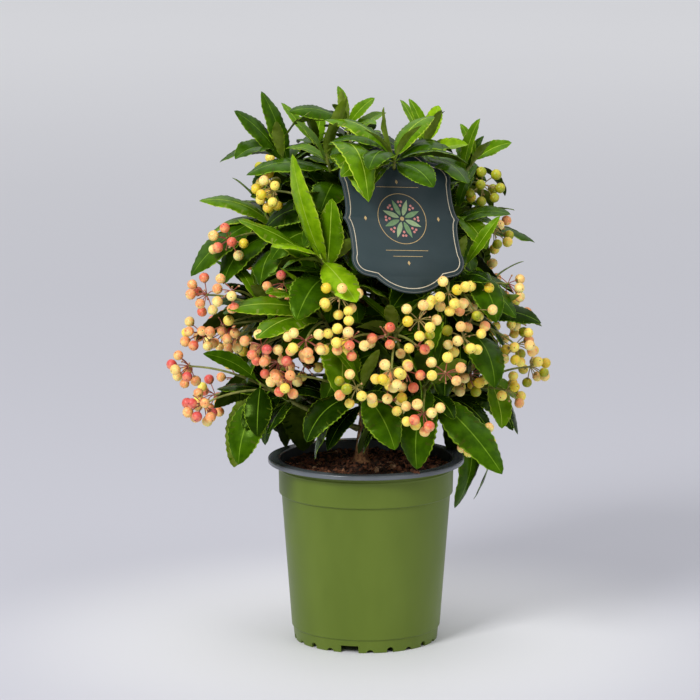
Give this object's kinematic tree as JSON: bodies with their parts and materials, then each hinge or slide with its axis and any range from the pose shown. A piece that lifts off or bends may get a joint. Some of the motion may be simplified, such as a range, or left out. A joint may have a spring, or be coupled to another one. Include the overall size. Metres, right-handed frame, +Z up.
{
  "type": "potted coral ardisia",
  "caption": "Small evergreen shrub with whorls of pointed leaves and hanging bunches of round berries, in a thin round nursery pot with soil and a hanging label plate",
  "frame": {"origin": "the middle of the pot's underside, on the flat pad at its centre", "axes": "+Z up, the pictured front faces -Y, +X to the picture's right"},
  "size_m": [0.2509, 0.2482, 0.3662],
  "materials": {
    "pot_plastic": "satin olive green",
    "soil": "crumbly peat",
    "bark": "rough brown bark",
    "green_bark": "smooth green-brown bark",
    "foliage": "glossy leaves and berries",
    "label_card": "printed satin card"
  },
  "bodies": {
    "root": {"pot": "pot_plastic", "potting_soil": "soil", "trunk": "bark", "label_plate": "label_card", "bough_top_front_right": "green_bark", "bough_top_far_right": "green_bark", "bough_upper_front_left": "green_bark", "bough_upper_far_right": "green_bark", "bough_upper_back_right": "green_bark", "bough_upper_back": "green_bark", "bough_upper_back_left": "green_bark", "bough_middle_front_left": "green_bark", "bough_middle_left": "green_bark", "bough_middle_front": "green_bark", "bough_middle_right": "green_bark", "bough_middle_back_right": "green_bark", "bough_middle_back": "green_bark", "bough_middle_back_left": "green_bark", "bough_middle_far_left": "green_bark", "bough_low_left": "green_bark", "bough_low_front": "green_bark", "bough_low_right": "green_bark", "bough_low_far_right": "green_bark", "bough_low_back_right": "green_bark", "bough_low_back": "green_bark", "bough_low_back_left": "green_bark", "leaves_top_front_right": "foliage", "leaves_top_front_left": "foliage", "leaves_crest": "foliage", "leaves_top_left": "foliage", "leaves_top_right": "foliage", "leaves_top_far_right": "foliage", "leaves_top_back_right": "foliage", "leaves_top_back_left": "foliage", "leaves_upper_front_left": "foliage", "leaves_upper_front_high": "foliage", "leaves_upper_left": "foliage", "leaves_upper_right": "foliage", "leaves_upper_far_right": "foliage", "leaves_upper_back_right": "foliage", "leaves_upper_back": "foliage", "leaves_upper_back_left": "foliage", "leaves_middle_front_left": "foliage", "leaves_middle_left": "foliage", "leaves_middle_front": "foliage", "leaves_middle_right": "foliage", "leaves_middle_back_right": "foliage", "leaves_middle_back": "foliage", "leaves_middle_back_left": "foliage", "leaves_middle_far_left": "foliage", "leaves_low_left": "foliage", "leaves_low_front": "foliage", "leaves_low_right": "foliage", "leaves_low_far_right": "foliage", "leaves_low_back_right": "foliage", "leaves_low_back": "foliage", "leaves_low_back_left": "foliage"}
  },
  "joints": []
}
